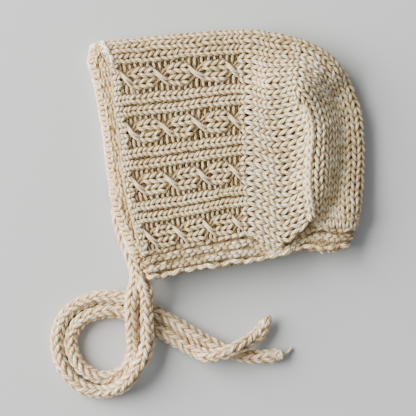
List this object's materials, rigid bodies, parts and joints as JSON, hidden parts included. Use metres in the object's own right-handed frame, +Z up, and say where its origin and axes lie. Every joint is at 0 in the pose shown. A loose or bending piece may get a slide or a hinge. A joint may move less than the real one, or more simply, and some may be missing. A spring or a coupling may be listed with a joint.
{
  "type": "knitted baby bonnet",
  "caption": "Hand-knitted cotton baby bonnet with cabled front, turned crown and back panel, garter neck band and long knitted cord ties, lying flat on its side.",
  "frame": {"origin": "on the surface that the bonnet lies on, under the middle of the bonnet's own box, its ties apart", "axes": "+Z up from the surface, -X towards the face opening, -Y towards the neck opening and the ties, +Y towards the fold of the crown"},
  "size_m": [0.1673, 0.196, 0.0263],
  "materials": {
    "cotton_knit": "undyed ecru cotton yarn, knitted in stockinette and small cables, matt",
    "cotton_garter": "undyed ecru cotton yarn, knitted in garter ridges, matt",
    "cotton_cord": "undyed ecru cotton yarn, knitted as a round cord, matt"
  },
  "bodies": {
    "root": {"face_edge": "cotton_knit", "cabled_front": "cotton_knit", "crown": "cotton_knit", "back_panel": "cotton_knit", "neck_band": "cotton_garter", "tie_far": "cotton_cord", "tie_near": "cotton_cord", "tie_tail": "cotton_cord"}
  },
  "joints": []
}
